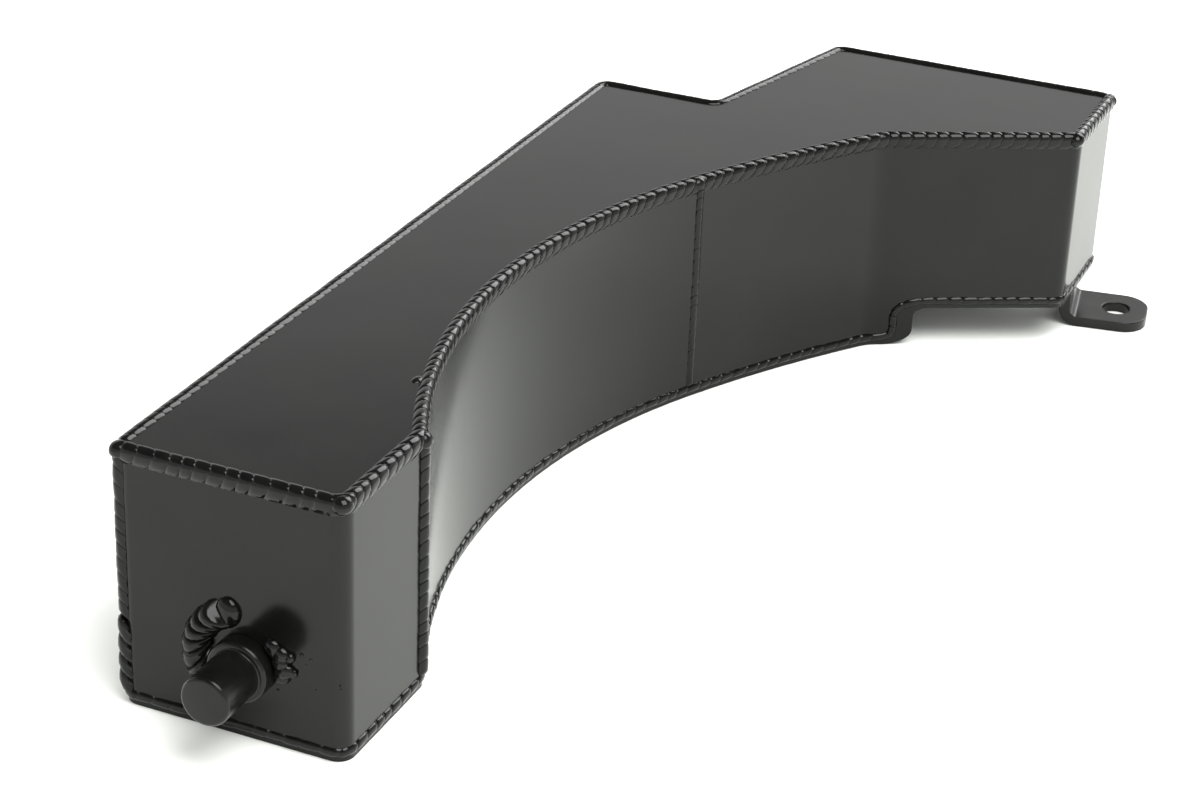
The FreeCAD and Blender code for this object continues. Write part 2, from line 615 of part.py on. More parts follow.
def build_peg(doc):
    """Make the locating peg of the near end and the two welds that hold it."""
    peg = turned(doc, "locating_peg", (
        ("0", "0"), ("collar_radius", "0"), ("collar_radius", "collar_length - peg_chamfer"),
        ("collar_radius - peg_chamfer", "collar_length"), ("peg_radius", "collar_length"),
        ("peg_radius", "peg_length - peg_chamfer"), ("peg_radius - peg_chamfer", "peg_length"),
        ("0", "peg_length")))
    large = weld_ring("collar_radius", "peg_weld_leg", "peg_weld_rise")
    small = weld_ring("collar_radius", "peg_tack_leg", "peg_tack_rise")
    weld = turned(doc, "peg_weld", large, "peg_weld_sweep")
    tack = turned(doc, "peg_tack_weld", small, "peg_tack_sweep")
    starts = (0.0, size_of(doc, "peg_weld_start"), size_of(doc, "peg_tack_start"))
    for body, start in zip((peg, weld, tack), starts):
        outwards = FreeCAD.Rotation(FreeCAD.Vector(0, 1, 0), -90)
        body.Placement.Rotation = outwards * FreeCAD.Rotation(FreeCAD.Vector(0, 0, 1), start)
        place(body, "0", "peg_w", "peg_z")
    return [peg, weld, tack]


def build_tab(doc):
    """Make the bent mounting tab under the far end, set out from its hole, and its weld."""
    leg_in = "-tab_back - tab_thickness"
    tab = padded(doc, "mounting_tab", (
        (leg_in, "0"), ("tab_tip", "0"), ("tab_tip", "tab_thickness"), ("-tab_back", "tab_thickness"),
        ("-tab_back", "shelf_rise"), (leg_in, "shelf_rise")), "tab_width")
    back, thick = size_of(doc, "tab_back"), size_of(doc, "tab_thickness")
    tip, half = size_of(doc, "tab_tip"), size_of(doc, "tab_width") / 2
    across, upright = FreeCAD.Vector(0, 1, 0), FreeCAD.Vector(0, 0, 1)
    round_edges(tab, across, [FreeCAD.Vector(-back, 0, thick)], "joggle_radius")
    round_edges(tab, across, [FreeCAD.Vector(-back - thick, 0, 0)], "joggle_radius + tab_thickness")
    round_edges(tab, upright, [FreeCAD.Vector(tip, -half, 0), FreeCAD.Vector(tip, half, 0)], "tab_round")
    hole = sketch_on(tab, "XY_Plane")
    hole.addGeometry(Part.Circle(FreeCAD.Vector(0, 0, 0), FreeCAD.Vector(0, 0, 1), 1.0))
    hole.addConstraint(Sketcher.Constraint("Coincident", 0, 3, -1, 1))
    hole.addConstraint(Sketcher.Constraint("Radius", 0, 1.0))
    bind(hole, **{"Constraints[1]": "tab_hole_radius"})
    pocket = tab.newObject("PartDesign::Pocket", "tab_hole")
    pocket.Profile = hole
    pocket.SideType = "Symmetric"
    bind(pocket, Length="2 * tab_thickness")
    weld = padded(doc, "tab_weld", (
        (leg_in, "shelf_rise"), (f"{leg_in} - tab_weld_leg", "shelf_rise"),
        (f"{leg_in} - {TAB_WELD_RATIO} * tab_weld_leg", f"shelf_rise - {TAB_WELD_RATIO} * tab_weld_leg"),
        (leg_in, "shelf_rise - tab_weld_leg")), "tab_width")
    for body in (tab, weld):
        turn_axis(body, (0, 0, 1), size_of(doc, "tab_turn") - 90)
        place(body, "tab_hole_u", "tab_hole_w", "0")
    return [tab, weld]


def build_fittings(doc):
    """Make the filler neck, the hose ends and their welds."""
    neck_tube = turned(doc, "neck_tube", (
        ("neck_bore", "0"), ("neck_radius", "0"),
        ("neck_radius", "neck_length"), ("neck_bore", "neck_length")))
    neck_weld = turned(doc, "neck_weld", weld_ring("neck_radius", "neck_weld_leg"))
    outlet = turned(doc, "hose_outlet",
                    hose_end("outlet_radius", "outlet_bore", "outlet_reach", "outlet_lip"))
    outlet_weld = turned(doc, "outlet_weld", weld_ring("outlet_radius", "fitting_weld_leg"))
    vent = turned(doc, "vent_nipple", hose_end("vent_radius", "vent_bore", "vent_reach", "spill_lip"))
    vent_weld = turned(doc, "vent_weld", weld_ring("vent_radius", "fitting_weld_leg"))
    for body in (neck_tube, neck_weld):
        turn_axis(body, (0, 1, 0), 90)
        place(body, FAR_U, "neck_w", "neck_z")
    for body in (outlet, outlet_weld):
        turn_axis(body, (1, 0, 0), -90)
        place(body, "outlet_u", "0", "outlet_z")
    for body in (vent, vent_weld):
        turn_axis(body, (0, 1, 0), 90)
        place(body, "back_length", "vent_w", "vent_z")

    reach = "neck_radius + spill_reach"
    spill_bar = turned(doc, "spill_bar", (
        ("0", "0"), ("spill_radius", "0"), ("spill_radius", reach), ("0", reach)))
    root = (("spill_bore", "neck_bore / 2"), ("spill_radius", "neck_bore / 2"))
    tip = hose_end("spill_radius", "spill_bore", reach, "spill_lip")[2:]
    spill_tube = turned(doc, "spill_tube", root + tip)
    for body in (spill_bar, spill_tube):
        turn_axis(body, (1, 0, 0), -90)
        place(body, f"{FAR_U} + spill_along", "neck_w", "neck_z")
    bore = turned(doc, "neck_core", (
        ("0", "0"), ("neck_bore", "0"), ("neck_bore", "neck_length"), ("0", "neck_length")))
    turn_axis(bore, (0, 1, 0), 90)
    place(bore, FAR_U, "neck_w", "neck_z")
    neck = cut(doc, "filler_neck", neck_tube, spill_bar)
    spill = cut(doc, "overflow_nipple", spill_tube, bore)
    return [neck, neck_weld, spill, outlet, outlet_weld, vent, vent_weld]


def build_cap(doc):
    """Make the screw cap, its seal and its pressure valve."""
    seal_top = "neck_length + seal_thickness"
    roof = f"{seal_top} + valve_flange + cap_clearance"
    inner = "neck_radius + cap_clearance"
    cap = turned(doc, "screw_cap", (
        (inner, f"{CAP_FRONT} - cap_skirt"), ("cap_radius", f"{CAP_FRONT} - cap_skirt"),
        ("cap_radius", f"{CAP_FRONT} - cap_chamfer"), ("cap_radius - cap_chamfer", CAP_FRONT),
        ("0", CAP_FRONT), ("0", roof), (inner, roof)))
    doc.recompute()
    groove = sketch_on(cap, "XY_Plane")
    rim = size_of(doc, "cap_radius")
    groove.addGeometry(Part.Circle(FreeCAD.Vector(rim, 0, 0), FreeCAD.Vector(0, 0, 1), 1.0))
    groove.addConstraint(Sketcher.Constraint("PointOnObject", 0, 3, -1))
    groove.addConstraint(Sketcher.Constraint("Radius", 0, 1.0))
    groove.addConstraint(Sketcher.Constraint("DistanceX", -1, 1, 0, 3, rim))
    bind(groove, **{"Constraints[1]": "grip_radius",
                    "Constraints[2]": "cap_radius + grip_radius - grip_depth"})
    pocket = cap.newObject("PartDesign::Pocket", "grip_groove")
    pocket.Profile = groove
    pocket.SideType = "Symmetric"
    bind(pocket, Length=f"2 * {CAP_FRONT}")
    pattern = cap.newObject("PartDesign::PolarPattern", "grip_grooves")
    pattern.Originals = [pocket]
    pattern.Axis = (groove, ["N_Axis"])
    pattern.Angle = 360
    bind(pattern, Occurrences="grip_count")
    cap.Tip = pattern
    seal = turned(doc, "cap_seal", (
        ("neck_radius - seal_width", "neck_length"), ("neck_radius - cap_clearance", "neck_length"),
        ("neck_radius - cap_clearance", seal_top), ("neck_radius - seal_width", seal_top)))
    valve = turned(doc, "pressure_valve", (
        ("valve_port", "neck_length - valve_depth"), ("valve_radius", "neck_length - valve_depth"),
        ("valve_radius", seal_top), ("neck_radius - cap_clearance", seal_top),
        ("neck_radius - cap_clearance", f"{seal_top} + valve_flange"), ("0", f"{seal_top} + valve_flange"),
        ("0", seal_top), ("valve_port", seal_top)))
    for body in (cap, seal, valve):
        turn_axis(body, (0, 1, 0), 90)
        place(body, FAR_U, "neck_w", "neck_z")
    return [cap, seal, valve]


def write_pieces(doc, pieces):
    """Check every object and write each piece to its own file."""
    failed = [thing.Label for thing in doc.Objects if {"Invalid", "Error"} & set(thing.State)]
    if failed:
        raise RuntimeError(f"failed objects: {failed}")
    for piece in pieces:
        if piece.Shape.isNull() or not piece.Shape.isValid():
            raise RuntimeError(f"bad shape: {piece.Label}")
    os.makedirs("parts", exist_ok=True)
    for piece in pieces:
        piece.Shape.exportStep(os.path.join("parts", piece.Label + ".step"))
        print(piece.Label, len(piece.Shape.Solids), round(piece.Shape.Volume, 1))


def main():
    """Build the tank and write each piece to its own file."""
    doc = FreeCAD.newDocument("expansion_tank")
    make_sheet(doc)
    plan = draw_plan(doc)
    top, bottom, ring = build_plates(doc, plan)
    walls = build_walls(doc, ring)
    seams = build_seams(doc, plan, top, bottom, ring)
    pieces = [top, bottom, *walls, *seams, *build_peg(doc), *build_tab(doc), *build_fittings(doc),
              *build_cap(doc)]
    doc.recompute()
    write_pieces(doc, pieces)


main()
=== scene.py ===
import bisect
import contextlib
import logging
import math
from dataclasses import dataclass
from enum import Enum
from typing import Any, Callable, Iterator, Sequence

import bmesh
import bpy
from mathutils import Matrix, Vector


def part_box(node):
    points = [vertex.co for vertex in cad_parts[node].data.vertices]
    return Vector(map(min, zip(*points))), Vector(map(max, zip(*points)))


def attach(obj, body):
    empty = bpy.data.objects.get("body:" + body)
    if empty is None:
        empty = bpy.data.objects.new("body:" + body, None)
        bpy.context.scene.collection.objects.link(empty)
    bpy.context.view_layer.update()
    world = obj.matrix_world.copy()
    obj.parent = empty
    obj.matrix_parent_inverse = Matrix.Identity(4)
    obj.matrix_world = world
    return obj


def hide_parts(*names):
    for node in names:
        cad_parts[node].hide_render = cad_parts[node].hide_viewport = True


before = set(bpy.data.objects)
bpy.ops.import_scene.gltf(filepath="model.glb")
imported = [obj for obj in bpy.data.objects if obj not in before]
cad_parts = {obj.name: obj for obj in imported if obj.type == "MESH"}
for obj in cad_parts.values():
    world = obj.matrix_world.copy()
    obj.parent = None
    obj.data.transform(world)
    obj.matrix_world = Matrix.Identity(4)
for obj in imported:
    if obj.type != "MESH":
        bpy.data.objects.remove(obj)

LOG = logging.getLogger("expansion_tank")
MM = 0.001
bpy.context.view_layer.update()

# Distance in millimetres below which two points are one: in most meshes, in a bent bead, in a CAD mesh.
MERGE_MM = 0.01
BEAD_MERGE_MM = 0.02
CAD_MERGE_MM = 0.001
# Angle in degrees up to which shading runs smoothly over an edge, and up to which two faces are one.
SMOOTH_DEG = 40.0
FLAT_DEG = 0.5
FULL_TURN_DEG = 360.0


class Slot(Enum):
    """Material slots of the record."""

    COAT = "powder_coat"
    CAP = "cap_plastic"


class Body(Enum):
    """Bodies that a piece moves with."""

    TANK = "tank"
    CAP = "cap"


def linear(code: str) -> tuple[float, float, float, float]:
    """Turn an sRGB hex colour into linear values.

    Args:
        code: six hex digits after a hash.

    Returns:
        Red, green, blue and full opacity.
    """
    parts = [int(code[at:at + 2], 16) / 255 for at in (1, 3, 5)]
    red, green, blue = (c / 12.92 if c <= 0.04045 else ((c + 0.055) / 1.055) ** 2.4 for c in parts)
    return red, green, blue, 1.0


def add_node(tree: bpy.types.NodeTree, kind: str, sockets: dict[Any, Any] | None = None,
             **settings: Any) -> bpy.types.Node:
    """Add a node with its settings, and set or link its inputs.

    Args:
        tree: node tree that gets the node.
        kind: the node's type name.
        sockets: input by name or number, with a value or the output that feeds it.
        settings: properties of the node.

    Returns:
        The new node.
    """
    node = tree.nodes.new(kind)
    for name, value in settings.items():
        setattr(node, name, value)
    for name, value in (sockets or {}).items():
        if isinstance(value, bpy.types.NodeSocket):
            tree.links.new(value, node.inputs[name])
        else:
            node.inputs[name].default_value = value
    return node


def new_tree(name: str) -> tuple[bpy.types.Material, bpy.types.NodeTree]:
    """Start a material with an empty node tree.

    Args:
        name: the material's name.

    Returns:
        The material and its tree.
    """
    material = bpy.data.materials.new(name)
    material.use_nodes = True
    material.node_tree.nodes.clear()
    return material, material.node_tree


def ramp(tree: bpy.types.NodeTree, source: bpy.types.NodeSocket,
         stops: Sequence[tuple[float, Any]]) -> bpy.types.NodeSocket:
    """Map a value through a colour ramp.

    Args:
        tree: node tree that gets the ramp.
        source: the value to map.
        stops: place and grey level or colour of each stop.

    Returns:
        The ramp's colour output.
    """
    node = add_node(tree, "ShaderNodeValToRGB", {"Fac": source})
    bar = node.color_ramp.elements
    while len(bar) < len(stops):
        bar.new(0.5)
    for element, (place, level) in zip(bar, stops):
        element.position = place
        element.color = (level, level, level, 1.0) if isinstance(level, float) else level
    return node.outputs["Color"]


# Values that most of a noise pattern lies between: a coat's colours and roughness are spread over them.
NOISE_LOW, NOISE_HIGH = 0.35, 0.7
# Refractive index of the coats and mouldings, set below a clear resin's 1.5 to match the dark walls.
COAT_IOR = 1.34


@dataclass(frozen=True)
class Coat:
    """A coated or moulded surface: colours, roughness, and relief at real sizes in millimetres."""

    name: str
    dark: str
    pale: str
    roughness: tuple[float, float]
    cloud_mm: float
    peel_mm: float
    peel_height_mm: float
    wave_mm: float
    wave_height_mm: float

    def make(self) -> bpy.types.Material:
        """Build the material's nodes.

        Returns:
            The material.
        """
        material, tree = new_tree(self.name)
        place = add_node(tree, "ShaderNodeTexCoord").outputs["Object"]
        cloud = add_node(tree, "ShaderNodeTexNoise", {
            "Vector": place, "Scale": 1 / (self.cloud_mm * MM), "Detail": 4.0, "Roughness": 0.6})
        colour = ramp(tree, cloud.outputs["Fac"], (
            (NOISE_LOW, linear(self.dark)), (NOISE_HIGH, linear(self.pale))))
        rough = ramp(tree, cloud.outputs["Fac"], (
            (NOISE_LOW, self.roughness[0]), (NOISE_HIGH, self.roughness[1])))
        wave = add_node(tree, "ShaderNodeTexNoise", {
            "Vector": place, "Scale": 1 / (self.wave_mm * MM), "Detail": 1.0})
        peel = add_node(tree, "ShaderNodeTexNoise", {
            "Vector": place, "Scale": 1 / (self.peel_mm * MM), "Detail": 2.0})
        broad = add_node(tree, "ShaderNodeBump", {
            "Height": wave.outputs["Fac"], "Strength": 1.0, "Distance": self.wave_height_mm * MM})
        fine = add_node(tree, "ShaderNodeBump", {
            "Height": peel.outputs["Fac"], "Strength": 1.0, "Distance": self.peel_height_mm * MM,
            "Normal": broad.outputs["Normal"]})
        shader = add_node(tree, "ShaderNodeBsdfPrincipled", {
            "Base Color": colour, "Roughness": rough, "Normal": fine.outputs["Normal"], "IOR": COAT_IOR})
        add_node(tree, "ShaderNodeOutputMaterial", {"Surface": shader.outputs["BSDF"]})
        return material


# Gloss black polyester powder coat, baked on aluminium sheet. It flows out to a soft orange peel and
# follows the slight waves that welding leaves in the sheet, so that reflections are smooth but never
# mirror sharp.
SHEET_COAT = Coat("powder_coat_on_sheet", "#0b0c0b", "#121310", roughness=(0.13, 0.18), cloud_mm=40,
                  peel_mm=1.6, peel_height_mm=0.004, wave_mm=55, wave_height_mm=0.12)
# The same coat over the welds, where it lies thicker and shines more.
WELD_COAT = Coat("powder_coat_on_weld", "#0a0a0a", "#11110f", roughness=(0.1, 0.17), cloud_mm=9,
                 peel_mm=1.1, peel_height_mm=0.008, wave_mm=6, wave_height_mm=0.05)
# The same coat on the turned and bent fittings, where it is a little duller.
FITTING_COAT = Coat("powder_coat_on_fitting", "#0b0b0a", "#131311", roughness=(0.2, 0.26), cloud_mm=14,
                    peel_mm=1.0, peel_height_mm=0.006, wave_mm=8, wave_height_mm=0.02)
# Black glass-filled nylon, moulded with a fine spark grain that takes the shine off.
CAP_NYLON = Coat("moulded_nylon", "#1a1a1b", "#232324", roughness=(0.42, 0.52), cloud_mm=12,
                 peel_mm=0.5, peel_height_mm=0.03, wave_mm=20, wave_height_mm=0.02)
# Black EPDM rubber, cut from sheet: dull and faintly mottled.
SEAL_RUBBER = Coat("epdm_rubber", "#151515", "#1f1f1f", roughness=(0.6, 0.75), cloud_mm=4,
                   peel_mm=0.4, peel_height_mm=0.02, wave_mm=5, wave_height_mm=0.02)
# Dark grey acetal of the valve cartridge, moulded smooth.
VALVE_ACETAL = Coat("moulded_acetal", "#2b2c2d", "#343536", roughness=(0.32, 0.4), cloud_mm=10,
                    peel_mm=0.6, peel_height_mm=0.006, wave_mm=15, wave_height_mm=0.01)


def deselect() -> None:
    """Leave edit mode and select nothing."""
    if bpy.context.object and bpy.context.object.mode != "OBJECT":
        bpy.ops.object.mode_set(mode="OBJECT")
    bpy.ops.object.select_all(action="DESELECT")


def activate(piece: bpy.types.Object) -> None:
    """Select one object alone and make it active.

    Args:
        piece: the object.
    """
    deselect()
    piece.select_set(True)
    bpy.context.view_layer.objects.active = piece


@contextlib.contextmanager
def editing(piece: bpy.types.Object) -> Iterator[bmesh.types.BMesh]:
    """Open a piece in edit mode with nothing selected.

    Args:
        piece: the object to edit.

    Returns:
        Its mesh as edit mode has it, until the block ends.
    """
    activate(piece)
    bpy.ops.object.mode_set(mode="EDIT")
    bpy.ops.mesh.select_mode(type="VERT")
    bpy.ops.mesh.select_all(action="DESELECT")
    yield bmesh.from_edit_mesh(piece.data)
    bpy.ops.object.mode_set(mode="OBJECT")


def pick(piece: bpy.types.Object, test: Callable[[Vector], bool]) -> None:
    """Select the vertices of the piece in edit mode that pass a test of their place.

    Args:
        piece: the object that is in edit mode.
        test: says whether a place is chosen.
    """
    mesh = bmesh.from_edit_mesh(piece.data)
    for vertex in mesh.verts:
        vertex.select_set(bool(test(vertex.co)))
    mesh.select_flush_mode()
    bmesh.update_edit_mesh(piece.data)


def primitive(kind: str, **sizes: Any) -> bpy.types.Object:
    """Add a primitive alone and apply its place, so that its mesh holds it.

    Args:
        kind: the primitive's name, such as cylinder.
        sizes: the operator's own sizes.

    Returns:
        The new object at the origin.
    """
    deselect()
    getattr(bpy.ops.mesh, f"primitive_{kind}_add")(**sizes)
    piece = bpy.context.object
    bpy.ops.object.transform_apply(location=True, rotation=True, scale=True)
    return piece


def copy_of(node: str) -> bpy.types.Object:
    """Copy a CAD node with a mesh of its own, free of the node's marks and parent.

    Args:
        node: the node's name.

    Returns:
        The copy.
    """
    deselect()
    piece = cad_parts[node].copy()
    piece.data = piece.data.copy()
    piece.parent = None
    for key in [key for key in piece.keys() if key.startswith("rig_")]:
        del piece[key]
    bpy.context.scene.collection.objects.link(piece)
    return piece


def apply_modifiers(piece: bpy.types.Object) -> None:
    """Apply all of a piece's modifiers in order.

    Args:
        piece: the object that has them.
    """
    activate(piece)
    for name in [modifier.name for modifier in piece.modifiers]:
        bpy.ops.object.modifier_apply(modifier=name)


def clean(piece: bpy.types.Object, gap_mm: float = MERGE_MM) -> None:
    """Merge doubles and turn all faces outwards.

    Args:
        piece: the object to clean.
        gap_mm: distance below which two points are one.
    """
    with editing(piece):
        bpy.ops.mesh.select_all(action="SELECT")
        bpy.ops.mesh.remove_doubles(threshold=gap_mm * MM)
        bpy.ops.mesh.normals_make_consistent(inside=False)


def roughen(piece: bpy.types.Object, lump_mm: float, height_mm: float) -> None:
    """Push a piece's surface in and out by a smooth cloud pattern.

    Args:
        piece: the object to roughen.
        lump_mm: size of the lumps.
        height_mm: whole height from the lowest to the highest place.
    """
    cloud = bpy.data.textures.new(piece.name + "_lumps", "CLOUDS")
    cloud.noise_scale = lump_mm * MM
    cloud.noise_depth = 1
    push = piece.modifiers.new("lumps", "DISPLACE")
    push.texture = cloud
    push.texture_coords = "LOCAL"
    push.strength = height_mm * MM
    push.mid_level = 0.5
    apply_modifiers(piece)
    bpy.data.textures.remove(cloud)


def join(pieces: Sequence[bpy.types.Object]) -> bpy.types.Object:
    """Join several objects into the first.

    Args:
        pieces: the objects.

    Returns:
        The joined object.
    """
    activate(pieces[0])
    for piece in pieces:
        piece.select_set(True)
    bpy.ops.object.join()
    return bpy.context.object


def dress(piece: bpy.types.Object, name: str, finish: bpy.types.Material, body: Body,
          node: str, angle_deg: float | None = SMOOTH_DEG) -> None:
    """Finish a piece: name, shading, material, body and the CAD node that it stands for.

    Args:
        piece: the object to finish.
        name: its name.
        finish: its material.
        body: the body that it moves with.
        node: CAD node that it replaces.
        angle_deg: angle between faces up to which shading is smooth, or none to keep the piece's own.
    """
    piece.name = name
    piece.data.name = name
    activate(piece)
    if angle_deg is not None:
        bpy.ops.object.shade_smooth_by_angle(angle=math.radians(angle_deg))
    piece.data.materials.clear()
    piece.data.materials.append(finish)
    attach(piece, body.value)
    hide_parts(node)
    LOG.info("%s: %d faces", name, len(piece.data.polygons))


def dress_weld(piece: bpy.types.Object, seam: str, coat: bpy.types.Material) -> None:
    """Finish a bead of the tank, which stands for the CAD weld of the same seam."""
    dress(piece, f"{seam}_bead", coat, Body.TANK, f"{seam}_weld")


# Smallest cosine that a corner of a line is mitred with, so that a sharp one doesn't run far out.
MITRE_LIMIT = 0.3
# A face is level from this height of its normal on, and is the upper one within this many millimetres.
LEVEL_NORMAL = 0.99
LEVEL_GAP_MM = 0.1


@dataclass
class SeamLine:
    """A line that a weld follows, with the way out of the seam at each of its points."""

    points: list[Vector]
    outs: list[Vector]
    closed: bool = False

    def runs(self) -> list[tuple[int, int]]:
        """Pair the number of each point with the next."""
        count = len(self.points)
        return [(at, (at + 1) % count) for at in range(count if self.closed else count - 1)]

    def marks(self) -> list[float]:
        """Measure along the line.

        Returns:
            The distance at which each run starts, and the whole length.
        """
        marks = [0.0]
        for first, last in self.runs():
            marks.append(marks[-1] + (self.points[last] - self.points[first]).length)
        return marks

    def moved_out(self, distance: float, drop: float = 0.0) -> "SeamLine":
        """Move a closed level line sideways, outwards where the distance is positive.

        Args:
            distance: how far, in metres.
            drop: how far it goes down as well.

        Returns:
            The moved line.
        """
        moved, outs = [], []
        count = len(self.points)
        down = Vector((0, 0, drop))
        for index, point in enumerate(self.points):
            before = (point - self.points[index - 1]).normalized()
            after = (self.points[(index + 1) % count] - point).normalized()
            sides = [Vector((way.y, -way.x, 0)).normalized() for way in (before, after)]
            middle = (sides[0] + sides[1]).normalized()
            outs.append(middle)
            moved.append(point + middle * (distance / max(MITRE_LIMIT, middle.dot(sides[0]))) - down)
        return SeamLine(moved, outs, True)

    def divided(self, step: float) -> "SeamLine":
        """Divide the runs into pieces no longer than a step.

        Args:
            step: the longest piece, in metres.

        Returns:
            The divided line.
        """
        points, outs = [], []
        for first, last in self.runs():
            parts = max(1, math.ceil((self.points[last] - self.points[first]).length / step))
            for part in range(parts):
                points.append(self.points[first].lerp(self.points[last], part / parts))
                outs.append(self.outs[first].lerp(self.outs[last], part / parts).normalized())
        if not self.closed:
            points.append(self.points[-1].copy())
            outs.append(self.outs[-1].copy())
        return SeamLine(points, outs, self.closed)

    def nearest(self, place: Sequence[float]) -> int:
        """Give the number of the point nearest a place in plan, in millimetres."""
        target = Vector(place).to_2d() * MM
        return min(range(len(self.points)), key=lambda at: (self.points[at].to_2d() - target).length)

    def part(self, first: int, last: int) -> "SeamLine":
        """Take the open part of a closed line from one point on to another.

        Args:
            first: number of the point that it starts at.
            last: number of the point that it ends at.

        Returns:
            The open line.
        """
        count = len(self.points)
        numbers = [at % count for at in range(first, last + 1 if last > first else last + count + 1)]
        return SeamLine([self.points[at] for at in numbers], [self.outs[at] for at in numbers])

    def lay(self, piece: bpy.types.Object) -> None:
        """Bend a straight piece onto the line: X runs along it, Y goes out of the seam and Z across.

        Args:
            piece: the object that lies along X from the origin.
        """
        marks = self.marks()
        count = len(self.points)
        steps = [(self.points[last] - self.points[first]).normalized() for first, last in self.runs()]
        ways = [(steps[at - 1 if self.closed or at else 0] + steps[min(at, len(steps) - 1)]).normalized()
                for at in range(count)]
        for vertex in piece.data.vertices:
            along = vertex.co.x % marks[-1] if self.closed else min(max(vertex.co.x, 0.0), marks[-1])
            first = min(bisect.bisect_right(marks, along) - 1, len(steps) - 1)
            last = (first + 1) % count
            share = (along - marks[first]) / (marks[first + 1] - marks[first])
            way = ways[first].lerp(ways[last], share).normalized()
            out = self.outs[first].lerp(self.outs[last], share)
            out = (out - way * out.dot(way)).normalized()
            spot = self.points[first].lerp(self.points[last], share)
            if not self.closed:
                spot += way * (vertex.co.x - along)
            vertex.co = spot + out * vertex.co.y + out.cross(way) * vertex.co.z


def straight_line(start: Sequence[float], end: Sequence[float], out: Sequence[float]) -> SeamLine:
    """Give a straight seam from two places in millimetres and its way out."""
    away = Vector(out).normalized()
    return SeamLine([Vector(start) * MM, Vector(end) * MM], [away, away.copy()])


def upright_line(place: Sequence[float], low: float, high: float, out: Sequence[float]) -> SeamLine:
    """Give an upright seam at a place in plan, from one height to another, in millimetres."""
    return straight_line((*place, low), (*place, high), out)


def ring_line(centre: Sequence[float], axis: Sequence[float], radius: float, start_deg: float = 0.0,
              sweep_deg: float = FULL_TURN_DEG, lift_deg: float = 45.0, steps: int = 48) -> SeamLine:
    """Give a round seam about an axis, measured from the upward direction.

    Args:
        centre: middle of the ring in millimetres.
        axis: direction of the ring's axis.
        radius: the ring's radius in millimetres.
        start_deg: angle at which it starts.
        sweep_deg: angle that it goes round.
        lift_deg: angle of the way out from the radius towards the axis.
        steps: number of runs.

    Returns:
        The line, closed if it goes all the way round.
    """
    pole = Vector(axis).normalized()
    up = Vector((0, 0, 1))
    across = pole.cross(up)
    lift = math.radians(lift_deg)
    closed = sweep_deg == FULL_TURN_DEG
    points, outs = [], []
    for step in range(steps if closed else steps + 1):
        turn = math.radians(start_deg + sweep_deg * step / steps)
        spoke = up * math.cos(turn) + across * math.sin(turn)
        points.append((Vector(centre) + spoke * radius) * MM)
        outs.append(spoke * math.cos(lift) + pole * math.sin(lift))
    return SeamLine(points, outs, closed)


def upper_outline(node: str) -> SeamLine:
    """Read the outline of a CAD plate's upper face.

    Args:
        node: the plate's name.

    Returns:
        The closed line, anticlockwise from above.
    """
    plate = copy_of(node)
    clean(plate)
    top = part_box(node)[1].z
    with editing(plate) as mesh:
        bpy.ops.mesh.select_mode(type="FACE")
        for face in mesh.faces:
            gap = abs(face.calc_center_median().z - top)
            face.select_set(face.normal.z > LEVEL_NORMAL and gap < LEVEL_GAP_MM * MM)
        bpy.ops.mesh.region_to_loop()
        mesh = bmesh.from_edit_mesh(plate.data)
        neighbours: dict[int, list[int]] = {}
        for edge in mesh.edges:
            if edge.select:
                first, last = (vertex.index for vertex in edge.verts)
                neighbours.setdefault(first, []).append(last)
                neighbours.setdefault(last, []).append(first)
        places = {vertex.index: vertex.co.copy() for vertex in mesh.verts}
    bpy.data.objects.remove(plate)
    order = [min(neighbours)]
    previous = None
    while len(order) < len(neighbours):
        step = next(near for near in neighbours[order[-1]] if near != previous and near not in order[1:])
        previous = order[-1]
        order.append(step)
    points = [places[index] for index in order]
    area = sum(a.x * b.y - b.x * a.y for a, b in zip(points, points[1:] + points[:1]))
    return SeamLine(points if area > 0 else points[::-1], [], True)


# Place of each ring within a ripple, and its height between valley and crest: flat pads, or round scales.
PADS = ((0.0, 0.0), (0.08, 0.7), (0.28, 1.0), (0.74, 0.98), (0.93, 0.65))
SCALES = ((0.0, 0.0), (0.1, 0.6), (0.34, 1.0), (0.68, 0.9), (0.91, 0.45))
# A point belongs to a ring within this share of the pitch, to a row of points within this angle in
# radians, and to the lower half from this many millimetres below the middle.
RING_SHARE = 0.02
ROW_ANGLE = 0.01
LOWER_MM = 0.01
# Longest straight run of a seam in millimetres, and size that the end of a bead shrinks to.
RUN_MM = 2.5
END_SIZE = 0.3
# Number of ripples over which their length grows and shrinks: a slow swell and a quick one.
SWELLS = (9, 4)


